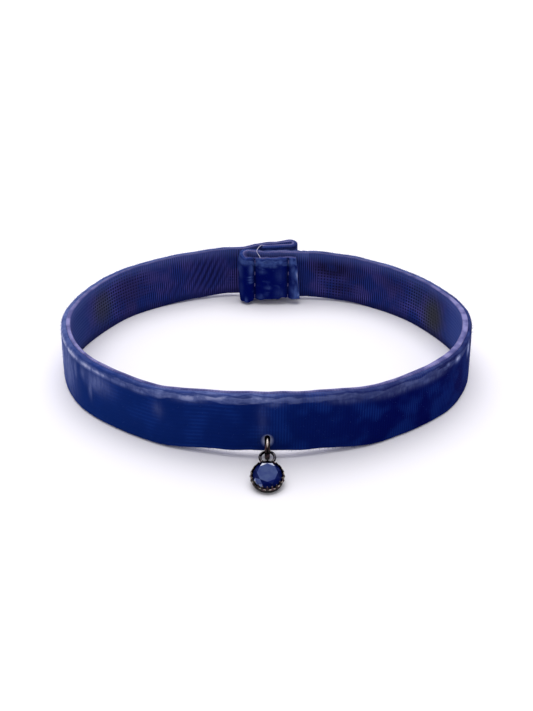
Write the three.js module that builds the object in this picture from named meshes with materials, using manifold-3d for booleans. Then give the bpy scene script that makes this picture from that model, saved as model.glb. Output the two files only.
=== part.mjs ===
// Velvet ribbon bracelet with a small stone charm, closed and standing on its lower edge.
// Millimetres, +Z up. The charm lies towards -Y and the closure is at the back, towards +Y.
// One length of velvet ribbon makes the whole loop: its inner end is folded back on itself
// as a flap, and its outer end is turned in as a hem and pressed on to the fastening.
import * as THREE from 'three';
import Module from 'manifold-3d';
import { ConvexGeometry } from 'three/addons/geometries/ConvexGeometry.js';
import { mergeVertices } from 'three/addons/utils/BufferGeometryUtils.js';

// ---- Driving dimensions -------------------------------------------------------------

const loopHalfWidth = 34.4; // outside of the ribbon at its left and right
const loopHalfDepth = 26.9; // outside of the ribbon at its front and back
const ribbonWidth = 9.6; // velvet ribbon 3/8 inch wide, the height of the bracelet's wall
const ribbonThickness = 1.5; // woven backing and pile together
const foldedThickness = 1.15; // the same ribbon with its pile pressed flat
const selvedgeRadius = 0.2; // rounding of the ribbon's edge on the backing side
const pileRadius = 0.55; // rounding of the ribbon's edge on the pile side
const layerGap = 0.25; // clear space between two layers at the closure
const stationStep = 1.9; // distance between two sections of the swept ribbon

const frontLift = 1.3; // the jump ring holds the front of the lower edge up by this
const frontBulge = 0.65; // and draws the front out past the loop's oval by this
const backLift = 0.75; // the stiff closure lifts the back of the lower edge by this

const padThickness = 0.6; // hidden hook-and-loop pad
const padWidth = 7.2;
const padLength = 4.6;

const ringWire = 0.8; // gunmetal jump ring
const ringOuter = 4.0;
const ringX = 0.15; // the ring hangs just right of the middle
const ringPull = 0.2; // how far the ring is drawn out from the ribbon's middle
const holeClearance = 0.3; // free space round the wire in the ribbon's hole
const dimpleDepth = 0.4; // the pile is parted where the wire goes through
const dimpleReach = 1.1;

const settingRadius = 2.36; // crown setting, at its rim
const settingBaseRadius = 2.22;
const settingDepth = 1.0; // from its back to the foot of its points
const settingWall = 0.3;
const pointCount = 20;
const pointHeight = 0.4;
const pointLean = 0.25; // how far a point leans in for each millimetre that it rises
const loopWidth = 2.5; // small oval loop soldered to the setting, outside
const loopLength = 3.2;
const loopWire = 0.42;
const loopHeight = 0.25; // the loop's foot above the setting's back
const loopBend = THREE.MathUtils.degToRad(22); // and it is bent down from there by this
const loopSeat = 0.3; // the loop's wire and the setting run together by this
const loopClearance = 0.08; // between the loop and the jump ring it hangs on
const charmTilt = THREE.MathUtils.degToRad(20); // its loop is held up by the jump ring

const stoneRadius = 2.0; // round stone with a wide eight-sided table
const stoneTable = 1.42;
const stoneCrown = 0.72;
const stonePavilion = 0.6;
const stoneClearance = 0.08;

// ---- Materials ----------------------------------------------------------------------

const finish = (name, look) => new THREE.MeshStandardMaterial({ name, ...look });
const velvet = finish('velvet', { color: 0x0f2a6b, roughness: 0.95, metalness: 0 });
const padNylon = finish('pad', { color: 0x10163a, roughness: 0.9, metalness: 0 });
const gunmetal = finish('gunmetal', { color: 0x2a2624, roughness: 0.3, metalness: 1 });
const blueStone = finish('stone', { color: 0x0b1c4d, roughness: 0.05, metalness: 0 });

// ---- Helpers ------------------------------------------------------------------------

const wasm = await Module();
wasm.setup();

function toSolid(geometry) {
  const plain = geometry.clone();
  plain.deleteAttribute('normal');
  plain.deleteAttribute('uv');
  const merged = mergeVertices(plain, 1e-5);
  return new wasm.Manifold(new wasm.Mesh({
    numProp: 3,
    vertProperties: Float32Array.from(merged.attributes.position.array),
    triVerts: Uint32Array.from(merged.index.array),
  }));
}

function toGeometry(solid) {
  const mesh = solid.getMesh();
  const geometry = new THREE.BufferGeometry();
  geometry.setAttribute('position', new THREE.BufferAttribute(mesh.vertProperties, 3));
  geometry.setIndex(new THREE.BufferAttribute(mesh.triVerts, 1));
  return geometry;
}

// A closed skin over rows of points that all have the same count. Each row runs
// anticlockwise as seen from the far end of the sweep. A ring sweep joins its last row to
// its first, and an open one is closed with a flat fan at each end.
function skinRows(rows, isRing) {
  const count = rows[0].length;
  const position = rows.flat().flatMap((point) => point.toArray());
  const index = [];
  const spans = isRing ? rows.length : rows.length - 1;
  for (let row = 0; row < spans; row += 1) {
    const near = row * count;
    const far = ((row + 1) % rows.length) * count;
    for (let side = 0; side < count; side += 1) {
      const next = (side + 1) % count;
      index.push(near + side, near + next, far + next);
      index.push(near + side, far + next, far + side);
    }
  }
  if (!isRing) {
    const last = (rows.length - 1) * count;
    for (let side = 1; side < count - 1; side += 1) {
      index.push(0, side + 1, side);
      index.push(last, last + side, last + side + 1);
    }
  }
  const geometry = new THREE.BufferGeometry();
  geometry.setAttribute('position', new THREE.Float32BufferAttribute(position, 3));
  geometry.setIndex(index);
  return geometry;
}

function addPiece(parent, name, geometry, material) {
  const piece = new THREE.Mesh(geometry, material);
  piece.name = name;
  parent.add(piece);
  return piece;
}

// ---- Route of the ribbon ------------------------------------------------------------
// Rows follow the ribbon from the raw end of the flap to the raw end of the hem. Each has
// the place of the ribbon's middle in plan, the lift of its lower edge, how far its upper
// edge leans out past its lower one in plan, its width and thickness, and how far its pile
// swells.

const middleHalfWidth = loopHalfWidth - ribbonThickness / 2;
const middleHalfDepth = loopHalfDepth - ribbonThickness / 2;
const innerPlyY = middleHalfDepth - 2.8; // middle of the layer that carries the pad
const flapY = innerPlyY - foldedThickness - layerGap - 0.2;
const padY = innerPlyY + foldedThickness / 2 + layerGap + padThickness / 2;
const hemY = padY + padThickness / 2 + layerGap + foldedThickness / 2;
const outerPlyY = hemY + foldedThickness + layerGap;
const flapEndX = 6.2;
const flapFoldX = -3.75;
const hemFoldX = 4.9;
const hemEndX = -0.8;

// A place on the loop, by its angle: 0 is the right side, -90 the front, -180 the left.
function loopRow({ angle, bulge, lift, lean }) {
  const turn = THREE.MathUtils.degToRad(angle);
  const outward = new THREE.Vector2(Math.cos(turn) / middleHalfWidth, Math.sin(turn) / middleHalfDepth);
  outward.normalize();
  return {
    x: middleHalfWidth * Math.cos(turn) + bulge * outward.x,
    y: middleHalfDepth * Math.sin(turn) + bulge * outward.y,
    lift,
    leanX: lean * outward.x,
    leanY: lean * outward.y,
    width: ribbonWidth,
    thickness: ribbonThickness,
    swell: 0.05,
  };
}

// Rows round a fold, clockwise in plan, with its lift going evenly from one value to another.
function foldRows({ x, y, radius, fromAngle, liftStart, liftEnd, leanY, width, thickness, swell }) {
  const rows = [];
  const turns = 4;
  for (let step = 0; step <= turns; step += 1) {
    const angle = THREE.MathUtils.degToRad(fromAngle - (180 * step) / turns);
    rows.push({
      x: x + radius * Math.cos(angle),
      y: y + radius * Math.sin(angle),
      lift: THREE.MathUtils.lerp(liftStart, liftEnd, step / turns),
      leanX: 0,
      leanY,
      width,
      thickness,
      swell,
    });
  }
  return rows;
}

const folded = { leanX: 0, leanY: 0, width: ribbonWidth, thickness: foldedThickness };
const gathered = { ...folded, width: 8.2, leanY: 0.3 }; // the stitching draws the flap in
const pressed = { ...gathered, thickness: 0.85 }; // a seam pulls the pile down

const flap = [
  { x: flapEndX, y: flapY, lift: 1.15, ...gathered, swell: 0 },
  { x: 5.2, y: flapY, lift: 1.2, ...gathered, swell: 0.12 },
  { x: 4.2, y: flapY + 0.12, lift: 1.3, ...pressed, swell: 0 },
  { x: 3.0, y: flapY - 0.05, lift: 1.25, ...gathered, swell: 0.2 },
  { x: 1.0, y: flapY - 0.1, lift: 1.2, ...gathered, swell: 0.3 },
  { x: -1.0, y: flapY - 0.05, lift: 1.15, ...gathered, swell: 0.2 },
  { x: -2.3, y: flapY + 0.12, lift: 1.15, ...pressed, swell: 0 },
];

const flapFold = foldRows({
  x: flapFoldX,
  y: (flapY + innerPlyY) / 2 - 0.05,
  radius: 0.95,
  fromAngle: 270,
  liftStart: 0.35,
  liftEnd: 1.25,
  leanY: 0.2,
  width: ribbonWidth,
  thickness: 1.25,
  swell: 0.1,
});

const innerPly = [
  { x: -1.5, y: innerPlyY, lift: 1.0, ...folded, swell: 0 },
  { x: 2.5, y: innerPlyY, lift: 0.95, ...folded, swell: 0 },
];

const loop = [
  { angle: 75, bulge: -1.5, lift: 0.7, lean: -0.2 },
  { angle: 62, bulge: -0.5, lift: 0.35, lean: -0.2 },
  { angle: 50, bulge: -0.2, lift: 0, lean: -0.2 },
  { angle: 30, bulge: -0.6, lift: 0, lean: -0.4 },
  { angle: 0, bulge: 0, lift: 0, lean: -0.8 },
  { angle: -30, bulge: 0.1, lift: 0, lean: -0.6 },
  { angle: -60, bulge: 0.1, lift: 0, lean: -0.3 },
  { angle: -79, bulge: 0.4, lift: 0.75 * frontLift, lean: 0.1 },
  { angle: -87, bulge: frontBulge, lift: frontLift, lean: 0.2 },
  { angle: -93, bulge: frontBulge, lift: frontLift, lean: 0.2 },
  { angle: -101, bulge: 0.4, lift: 0.75 * frontLift, lean: 0.1 },
  { angle: -120, bulge: 0.1, lift: 0, lean: -0.3 },
  { angle: -150, bulge: 0.1, lift: 0, lean: -0.6 },
  { angle: -180, bulge: 0, lift: 0, lean: -0.8 },
  { angle: -212, bulge: 0.15, lift: 0, lean: 0.3 },
  { angle: -230, bulge: 0.4, lift: 0.05, lean: 0.4 },
  { angle: -245, bulge: 0.1, lift: 0.4, lean: 0.3 },
  { angle: -256, bulge: -0.1, lift: backLift, lean: 0 },
];

const outerPly = [
  { x: -4.6, y: middleHalfDepth - 0.75, lift: 0.8, ...folded, swell: 0.05 },
  { x: -1.6, y: outerPlyY - 0.1, lift: 0.9, ...folded, swell: 0.05 },
  { x: 1.5, y: outerPlyY + 0.05, lift: 1.2, ...folded, swell: 0.05 },
];

const hemFold = foldRows({
  x: hemFoldX,
  y: (hemY + outerPlyY) / 2,
  radius: (outerPlyY - hemY) / 2,
  fromAngle: 90,
  liftStart: 1.7,
  liftEnd: 1.3,
  leanY: 0,
  width: ribbonWidth,
  thickness: foldedThickness,
  swell: 0.05,
});

const hem = [
  { x: 2, y: hemY, lift: 1.1, ...folded, swell: 0 },
  { x: hemEndX, y: hemY, lift: 1.0, ...folded, swell: 0 },
];

const route = [...flap, ...flapFold, ...innerPly, ...loop.map(loopRow), ...outerPly, ...hemFold, ...hem];
const routePlaces = route.map(({ x, y }) => new THREE.Vector3(x, y, 0));
const routeCurve = new THREE.CatmullRomCurve3(routePlaces, false, 'centripetal');

// ---- Jump ring, and where the ribbon is pierced -------------------------------------

const ringRadius = (ringOuter - ringWire) / 2;
const ringY = -(middleHalfDepth + frontBulge + ringPull);
const ringCentre = new THREE.Vector3(ringX, ringY, ringOuter / 2);
const holeHeight = ringCentre.z + ringRadius;

// A ring of round wire in the plane x = 0 of its own frame, longer both
// ways along Y by the stretch.
function wireRing(radius, wireRadius, stepsRound, stepsWire, stretch = 0) {
  const rows = [];
  for (let step = 0; step < stepsRound; step += 1) {
    const round = (2 * Math.PI * step) / stepsRound;
    const row = [];
    for (let side = 0; side < stepsWire; side += 1) {
      const across = (2 * Math.PI * side) / stepsWire;
      const reach = radius + wireRadius * Math.cos(across);
      row.push(new THREE.Vector3(
        wireRadius * Math.sin(across),
        (reach + stretch) * Math.sin(round),
        reach * Math.cos(round),
      ));
    }
    rows.push(row);
  }
  return skinRows(rows, true);
}

// ---- The ribbon ---------------------------------------------------------------------

// Outline of the ribbon's section, anticlockwise: [towards the pile side, up], with the
// pile side rounded and the backing side nearly square.
function ribbonOutline(thickness, width) {
  const half = thickness / 2;
  const outer = Math.min(pileRadius, thickness * 0.45);
  const corner = (middleU, middleV, radius, fromAngle, steps) => {
    const points = [];
    for (let step = 0; step <= steps; step += 1) {
      const angle = THREE.MathUtils.degToRad(fromAngle + (90 * step) / steps);
      points.push([middleU + radius * Math.cos(angle), middleV + radius * Math.sin(angle)]);
    }
    return points;
  };
  const face = [0.14, 0.24, 0.36, 0.5, 0.7].map((part) => [half, part * width]);
  return [
    ...corner(half - outer, outer, outer, -90, 2),
    ...face,
    ...corner(half - outer, width - outer, outer, 0, 2),
    ...corner(-half + selvedgeRadius, width - selvedgeRadius, selvedgeRadius, 90, 1),
    ...corner(-half + selvedgeRadius, selvedgeRadius, selvedgeRadius, 180, 1),
  ];
}

// The stations along the ribbon, with the rows' values blended smoothly between rows.
function ribbonStations() {
  const stations = [];
  for (let segment = 0; segment < route.length - 1; segment += 1) {
    const from = route[segment];
    const to = route[segment + 1];
    const length = Math.hypot(to.x - from.x, to.y - from.y);
    const steps = Math.max(2, Math.round(length / stationStep));
    const isLast = segment === route.length - 2;
    for (let step = 0; step < (isLast ? steps + 1 : steps); step += 1) {
      const part = step / steps;
      const blend = THREE.MathUtils.smoothstep(part, 0, 1);
      const place = (segment + part) / (route.length - 1);
      const station = { middle: routeCurve.getPoint(place), tangent: routeCurve.getTangent(place) };
      for (const key of ['lift', 'leanX', 'leanY', 'width', 'thickness', 'swell']) {
        station[key] = THREE.MathUtils.lerp(from[key], to[key], blend);
      }
      stations.push(station);
    }
  }
  return stations;
}

function ribbonRow({ middle, tangent, lift, leanX, leanY, width, thickness, swell }, slant) {
  const towardsPile = new THREE.Vector3(-tangent.y, tangent.x, 0).normalize();
  return ribbonOutline(thickness, width).map(([across, up]) => {
    const fromMiddle = up / width - 0.5;
    const isPile = across > thickness * 0.3;
    const crown = isPile ? swell * Math.sin((Math.PI * up) / width) : 0;
    const fromHole = Math.hypot(middle.x - ringX, up + lift - holeHeight);
    const isFront = middle.y < 0 && isPile;
    const dimple = isFront ? dimpleDepth * Math.exp(-((fromHole / dimpleReach) ** 2)) : 0;
    const point = middle.clone().addScaledVector(towardsPile, across + crown - dimple);
    point.addScaledVector(tangent, slant * fromMiddle);
    point.x += leanX * fromMiddle;
    point.y += leanY * fromMiddle;
    point.z = lift + up;
    return point;
  });
}

function velvetBand() {
  const rawEndSlant = 0.9; // the flap's cut end runs out further at its foot
  const rows = ribbonStations().map((station, place) => ribbonRow(station, place === 0 ? rawEndSlant : 0));
  const cutter = wireRing(ringRadius, ringWire / 2 + holeClearance, 24, 10);
  cutter.translate(ringCentre.x, ringCentre.y, ringCentre.z);
  return toGeometry(toSolid(skinRows(rows, false)).subtract(toSolid(cutter)));
}

// ---- Hidden fastening ---------------------------------------------------------------

function closurePad() {
  const geometry = new THREE.BoxGeometry(padLength, padThickness, padWidth);
  geometry.translate(hemEndX + 0.5 + padLength / 2, padY, backLift + ribbonWidth / 2);
  return geometry;
}

// ---- Charm --------------------------------------------------------------------------
// In the charm's own frame the setting's back is at z = 0 and its loop lies towards +Y,
// bent down about its foot in the setting's wall.

const loopFootY = settingRadius - loopSeat + loopWire / 2;
const loopSpan = loopLength - loopWire; // from its foot to its far end, along the wire's middle
const girdleHeight = settingDepth; // the stone's widest place, at the foot of the points

// A cup with a flat floor, whose rim rises into points that lean in over the stone.
function crownCup() {
  const rows = [];
  const stepsPerPoint = 6;
  const steps = pointCount * stepsPerPoint;
  for (let step = 0; step < steps; step += 1) {
    const round = (2 * Math.PI * step) / steps;
    const rise = pointHeight * (0.5 + 0.5 * Math.cos(pointCount * round)) ** 1.4;
    const rim = settingDepth + rise;
    const innerRadius = stoneRadius + stoneClearance;
    const profile = [
      [0, 0],
      [settingBaseRadius, 0],
      [settingRadius, settingDepth * 0.75],
      [settingRadius, rim - 0.1],
      [settingRadius - 0.1 - pointLean * rise, rim],
      [innerRadius - pointLean * rise, rim - 0.08],
      [innerRadius, settingDepth - 0.1],
      [innerRadius - 0.35, settingWall],
      [0, settingWall],
    ];
    const outwards = new THREE.Vector3(Math.cos(round), Math.sin(round), 0);
    rows.push(profile.map(([reach, up]) => outwards.clone().multiplyScalar(reach).setZ(up)));
  }
  return skinCup(rows);
}

// A skin over rows that start and end on the axis: the axis points are shared by all rows.
function skinCup(rows) {
  const count = rows[0].length;
  const inner = count - 2;
  const position = [...rows[0][0].toArray(), ...rows[0][count - 1].toArray()];
  rows.forEach((row) => row.slice(1, -1).forEach((point) => position.push(...point.toArray())));
  const index = [];
  rows.forEach((row, place) => {
    const near = 2 + place * inner;
    const far = 2 + ((place + 1) % rows.length) * inner;
    index.push(0, far, near);
    for (let side = 0; side < inner - 1; side += 1) {
      index.push(near + side, far + side, far + side + 1);
      index.push(near + side, far + side + 1, near + side + 1);
    }
    index.push(1, near + inner - 1, far + inner - 1);
  });
  const geometry = new THREE.BufferGeometry();
  geometry.setAttribute('position', new THREE.Float32BufferAttribute(position, 3));
  geometry.setIndex(index);
  return geometry;
}

function charmSetting() {
  const loopRadius = (loopWidth - loopWire) / 2;
  const solderedLoop = wireRing(loopRadius, loopWire / 2, 24, 8, (loopLength - loopWidth) / 2);
  solderedLoop.rotateY(Math.PI / 2);
  solderedLoop.translate(0, loopSpan / 2, 0);
  solderedLoop.rotateX(-loopBend);
  solderedLoop.translate(0, loopFootY, loopHeight);
  return toGeometry(toSolid(crownCup()).add(toSolid(solderedLoop)));
}

// A round stone: an eight-sided table, a faceted crown, a girdle and a shallow back.
function charmStone() {
  const points = [];
  const ring = (radius, height, count, phase) => {
    for (let place = 0; place < count; place += 1) {
      const round = (2 * Math.PI * (place + phase)) / count;
      const point = new THREE.Vector3(Math.cos(round), Math.sin(round), 0).multiplyScalar(radius);
      points.push(point.setZ(girdleHeight + height));
    }
  };
  ring(stoneTable, stoneCrown, 8, 0.5);
  ring((stoneTable + stoneRadius) / 2 + 0.05, stoneCrown * 0.55, 8, 0);
  ring(stoneRadius, 0.04, 16, 0.5);
  ring(stoneRadius, -0.04, 16, 0.5);
  ring(stoneRadius * 0.55, -stonePavilion, 8, 0.5);
  return new ConvexGeometry(points);
}

// The charm lies forward on the table: the front of its back touches, and the far end of its
// loop is inside the jump ring, drawn out against the front of the ring's wire.
const backCentreZ = settingBaseRadius * Math.sin(charmTilt);
const farEnd = new THREE.Vector2(loopFootY + loopSpan * Math.cos(loopBend), loopHeight - loopSpan * Math.sin(loopBend));
farEnd.rotateAround(new THREE.Vector2(0, 0), charmTilt);
const farEndRise = backCentreZ + farEnd.y - ringCentre.z;
const farEndReach = ringRadius - (ringWire + loopWire) / 2 - loopClearance;
const farEndY = ringCentre.y - Math.sqrt(farEndReach ** 2 - farEndRise ** 2);
const charmPlace = new THREE.Vector3(ringX, farEndY - farEnd.x, backCentreZ);

// ---- Assembly -----------------------------------------------------------------------

const bracelet = new THREE.Group();
addPiece(bracelet, 'velvet_band', velvetBand(), velvet);
addPiece(bracelet, 'closure_pad', closurePad(), padNylon);
const jumpRing = addPiece(bracelet, 'jump_ring', wireRing(ringRadius, ringWire / 2, 32, 12), gunmetal);
jumpRing.position.copy(ringCentre);

const charm = new THREE.Group();
addPiece(charm, 'charm_setting', charmSetting(), gunmetal);
addPiece(charm, 'charm_stone', charmStone(), blueStone);
charm.position.copy(charmPlace);
charm.rotation.x = charmTilt;
bracelet.add(charm);

// The origin is the middle of the whole piece's footprint, on the table.
bracelet.updateMatrixWorld(true);
const extent = new THREE.Box3().setFromObject(bracelet, true);
bracelet.position.set(-(extent.min.x + extent.max.x) / 2, -(extent.min.y + extent.max.y) / 2, -extent.min.z);

export default bracelet;
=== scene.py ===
import math
from functools import partial

import bmesh
import bpy
import numpy as np
from mathutils import Matrix, Vector, noise


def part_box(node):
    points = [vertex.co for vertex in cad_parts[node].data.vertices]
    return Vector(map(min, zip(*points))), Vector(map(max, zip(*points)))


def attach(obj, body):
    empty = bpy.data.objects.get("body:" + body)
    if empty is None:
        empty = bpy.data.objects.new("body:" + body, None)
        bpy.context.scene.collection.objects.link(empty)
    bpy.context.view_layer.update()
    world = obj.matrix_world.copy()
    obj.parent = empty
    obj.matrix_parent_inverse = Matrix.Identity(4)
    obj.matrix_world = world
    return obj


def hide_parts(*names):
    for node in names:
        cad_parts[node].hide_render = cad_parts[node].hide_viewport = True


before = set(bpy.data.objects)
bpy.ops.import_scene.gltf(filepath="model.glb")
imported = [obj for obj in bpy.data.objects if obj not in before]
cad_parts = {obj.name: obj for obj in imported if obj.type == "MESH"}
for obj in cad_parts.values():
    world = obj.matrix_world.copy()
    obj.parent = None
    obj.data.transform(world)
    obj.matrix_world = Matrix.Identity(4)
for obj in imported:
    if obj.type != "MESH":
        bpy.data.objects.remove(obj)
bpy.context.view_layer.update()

# ---- Velvet ribbon ----
# One length of 3/8 inch velvet ribbon: a woven ground with a narrow satin selvedge along
# each edge and a cut pile on its outer side. Its inner end is folded back as a flap and
# stitched, and its outer end is turned in as a hem.

loop_half_width = 34.4
loop_half_depth = 26.9
ribbon_width = 9.6
ribbon_thickness = 1.5
folded_thickness = 1.15
gathered_width = 8.5  # of the flap, which its seams have gathered
gathered_lean = 0.3
pressed_thickness = 0.85  # under the stitches
layer_gap = 0.25
pad_thickness = 0.6
front_lift = 1.3
front_bulge = 0.65
back_lift = 0.75

middle_half_width = loop_half_width - ribbon_thickness / 2
middle_half_depth = loop_half_depth - ribbon_thickness / 2
inner_ply_y = middle_half_depth - 2.8
flap_y = inner_ply_y - folded_thickness - layer_gap - 0.2
pad_y = inner_ply_y + folded_thickness / 2 + layer_gap + pad_thickness / 2
hem_y = pad_y + pad_thickness / 2 + layer_gap + folded_thickness / 2
outer_ply_y = hem_y + folded_thickness + layer_gap
hem_fold_x = 4.9
left_seam_x = -2.3
right_seam_x = 4.2
stitch_pitch = 1.9

# Rows along the ribbon, in millimetres round the middle of the loop.
# Columns: x, y, lift, lean_x, lean_y, width, thickness, swell.
seam_inset = 0.12
flap_rows = [
    (x, flap_y + inset, lift, 0, gathered_lean, gathered_width, thickness, swell)
    for x, inset, lift, thickness, swell in (
        (6.2, 0, 1.15, folded_thickness, 0),
        (5.2, 0, 1.2, folded_thickness, 0.12),
        (right_seam_x, seam_inset, 1.3, pressed_thickness, 0),
        (3.0, -0.05, 1.25, folded_thickness, 0.2),
        (1.0, -0.1, 1.2, folded_thickness, 0.3),
        (-1.0, -0.05, 1.15, folded_thickness, 0.2),
        (left_seam_x, seam_inset, 1.15, pressed_thickness, 0))]


def straight_rows(*places, swell=0):
    """Rows of a flat ply of the closure, from their x, y and lift."""
    return [(x, y, lift, 0, 0, ribbon_width, folded_thickness, swell) for x, y, lift in places]


def fold_rows(x, y, radius, from_angle, lift_start, lift_end, lean_y, thickness, swell):
    """Rows of a half turn of the ribbon about this centre."""
    rows = []
    for step in range(5):
        angle = math.radians(from_angle - 45 * step)
        lift = lift_start + (lift_end - lift_start) * step / 4
        place = (x + radius * math.cos(angle), y + radius * math.sin(angle))
        rows.append((*place, lift, 0, lean_y, ribbon_width, thickness, swell))
    return rows


def loop_row(angle, bulge, lift, lean):
    """A row at this angle round the loop, bulging and leaning outwards."""
    turn = math.radians(angle)
    outward = Vector((math.cos(turn) / middle_half_width, math.sin(turn) / middle_half_depth)).normalized()
    x = middle_half_width * math.cos(turn) + bulge * outward.x
    y = middle_half_depth * math.sin(turn) + bulge * outward.y
    return (x, y, lift, lean * outward.x, lean * outward.y, ribbon_width, ribbon_thickness, 0.05)


flap_fold_rows = fold_rows(
    -3.75, (flap_y + inner_ply_y) / 2 - 0.05, radius=0.95, from_angle=270, lift_start=0.35, lift_end=1.25,
    lean_y=0.2, thickness=1.25, swell=0.1)
inner_ply_rows = straight_rows((-1.5, inner_ply_y, 1.0), (2.5, inner_ply_y, 0.95))
loop_rows = [loop_row(*row) for row in (  # angle, bulge, lift, lean
    (75, -1.5, 0.7, -0.2),
    (62, -0.5, 0.35, -0.2),
    (50, -0.2, 0, -0.2),
    (30, -0.6, 0, -0.4),
    (0, 0, 0, -0.8),
    (-30, 0.1, 0, -0.6),
    (-60, 0.1, 0, -0.3),
    (-79, 0.4, 0.75 * front_lift, 0.1),
    (-87, front_bulge, front_lift, 0.2),
    (-93, front_bulge, front_lift, 0.2),
    (-101, 0.4, 0.75 * front_lift, 0.1),
    (-120, 0.1, 0, -0.3),
    (-150, 0.1, 0, -0.6),
    (-180, 0, 0, -0.8),
    (-212, 0.15, 0, 0.3),
    (-230, 0.4, 0.05, 0.4),
    (-245, 0.1, 0.4, 0.3),
    (-256, -0.1, back_lift, 0),
)]
outer_ply_rows = straight_rows(
    (-4.6, middle_half_depth - 0.75, 0.8), (-1.6, outer_ply_y - 0.1, 0.9), (1.5, outer_ply_y + 0.05, 1.2),
    swell=0.05)
hem_fold_rows = fold_rows(
    hem_fold_x, (hem_y + outer_ply_y) / 2, radius=(outer_ply_y - hem_y) / 2, from_angle=90, lift_start=1.7,
    lift_end=1.3, lean_y=0, thickness=folded_thickness, swell=0.05)
hem_rows = straight_rows((2.0, hem_y, 1.1), (-0.8, hem_y, 1.0))

# The whole ribbon from the flap's cut end to the hem's, and where its parts meet.
route = np.array(
    flap_rows + flap_fold_rows + inner_ply_rows + loop_rows + outer_ply_rows + hem_fold_rows + hem_rows)
flap_end = len(flap_rows)
fold_end = flap_end + len(flap_fold_rows)
inner_end = fold_end + len(inner_ply_rows)
outer_start = inner_end + len(loop_rows)


def through_rows(points, segment, part):
    """A point and its direction on the smooth curve through the rows, in plan."""
    near, far = points[segment], points[segment + 1]
    before = points[segment - 1] if segment > 0 else 2 * near - far
    after = points[segment + 2] if segment + 2 < len(points) else 2 * far - near
    gap_before, gap, gap_after = (
        math.sqrt(np.linalg.norm(b - a)) for a, b in ((before, near), (near, far), (far, after)))
    start = ((near - before) / gap_before - (far - before) / (gap_before + gap) + (far - near) / gap) * gap
    end = ((far - near) / gap - (after - near) / (gap + gap_after) + (after - far) / gap_after) * gap
    square, cube = -3 * near + 3 * far - 2 * start - end, 2 * near - 2 * far + start + end
    place = near + start * part + square * part ** 2 + cube * part ** 3
    return place, start + 2 * square * part + 3 * cube * part ** 2


def ribbon_outline(thickness, width, selvedge_width=0.6):
    """The ribbon's section: (towards the pile, up, zone), anticlockwise from the lower selvedge."""
    half = thickness / 2
    ground = min(selvedge_width, 0.6 * thickness)  # the woven ground, without its pile
    seam = -half + ground
    roll = min(0.55, (thickness - ground) * 0.55)
    points = [(-half + 0.1, 0, "edge"), (seam - 0.12, 0, "edge"), (seam - 0.03, 0.05, "edge")]
    points += [(seam, 0.2, "crease"), (seam + 0.08, 0.06, "pile")]
    for step in range(7):
        angle = math.radians(-90 + 15 * step)
        points.append((half - roll + roll * math.cos(angle), roll + roll * math.sin(angle), "pile"))
    face_steps = 32
    for step in range(1, face_steps):
        points.append((half, roll + (width - 2 * roll) * step / face_steps, "pile"))
    for step in range(8):
        angle = math.radians(90 * step / 7)
        points.append((half - roll + roll * math.cos(angle), width - roll + roll * math.sin(angle), "pile"))
    points.append((half * 0.5 + (seam + 0.12) * 0.5 - roll / 2, width - 0.015, "pile"))
    points += [(seam + 0.08, width - 0.05, "pile"), (seam, width - 0.2, "crease")]
    points += [(seam - 0.03, width - 0.05, "edge"), (seam - 0.12, width, "edge")]
    points.append((-half + 0.1, width, "edge"))
    back_steps = 18
    for step in range(back_steps + 1):
        points.append((-half, width - 0.1 - (width - 0.2) * step / back_steps, "back"))
    return points


# The jump ring's place sets the hole in the ribbon. The part's own origin is found from it.
ring_x = 0.15
ring_outer = 4.0
ring_wire = 0.8
ring_pull = 0.2
ring_centre = Vector((ring_x, -(middle_half_depth + front_bulge + ring_pull), ring_outer / 2))
hole_height = ring_centre.z + (ring_outer - ring_wire) / 2
to_part = (Vector(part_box("jump_ring")[0]) + Vector(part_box("jump_ring")[1])) * 500 - ring_centre


def new_object(name, data):
    """An object in the scene, left at the origin."""
    made = bpy.data.objects.new(name, data)
    bpy.context.scene.collection.objects.link(made)
    return made


def mesh_object(name, points, faces, edges=(), attributes=None, face_material=None, smooth=True):
    """A mesh object from points in millimetres round the middle of the loop."""
    mesh = bpy.data.meshes.new(name)
    placed = (np.asarray(points, dtype=float) + np.array(to_part)) / 1000
    mesh.from_pydata(placed.tolist(), edges, faces)
    for key, values in (attributes or {}).items():
        layer = mesh.attributes.new(key, "FLOAT", "POINT")
        layer.data.foreach_set("value", np.asarray(values, dtype=np.float32))
    if face_material is not None:
        mesh.polygons.foreach_set("material_index", face_material)
    mesh.polygons.foreach_set("use_smooth", [smooth] * len(mesh.polygons))
    mesh.update()
    return new_object(name, mesh)


def rumple(x, y, z, size, seed):
    """Smooth noise from -1 to 1 with lumps of this size in millimetres."""
    return noise.noise(Vector((x / size + seed * 7.3, y / size - seed * 3.1, z / size + seed)))


# How pale the upper edge is drawn round the loop, a painted sheen. Columns: degrees, how
# pale the pile is, how pale the selvedge is, width of the selvedge.
edge_tones = np.array([
    (-180, 1.4, 0.95, 0.7),
    (-168, 1.2, 0.95, 0.6),
    (-152, 0.45, 0.85, 0.5),
    (-138, 0.45, 0.6, 0.5),
    (-126, 0.9, 0.5, 0.5),
    (-112, 1.35, 0.5, 0.5),
    (-96, 1.35, 0.5, 0.5),
    (-79, 0.5, 0.5, 0.5),
    (-64, 0.6, 0.5, 0.5),
    (-50, 0.55, 0.55, 0.6),
    (-32, 0.6, 0.8, 0.85),
    (-20, 0.3, 1.0, 1.0),
    (-8, 0.4, 1.0, 1.0),
    (5, 0.6, 0.9, 0.9),
    (25, 1.3, 0.35, 0.5),
    (60, 1.0, 0.08, 0.5),
    (120, 0.9, 0.08, 0.5),
    (155, 1.1, 0.35, 0.5),
    (180, 1.4, 0.95, 0.7),
])
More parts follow.
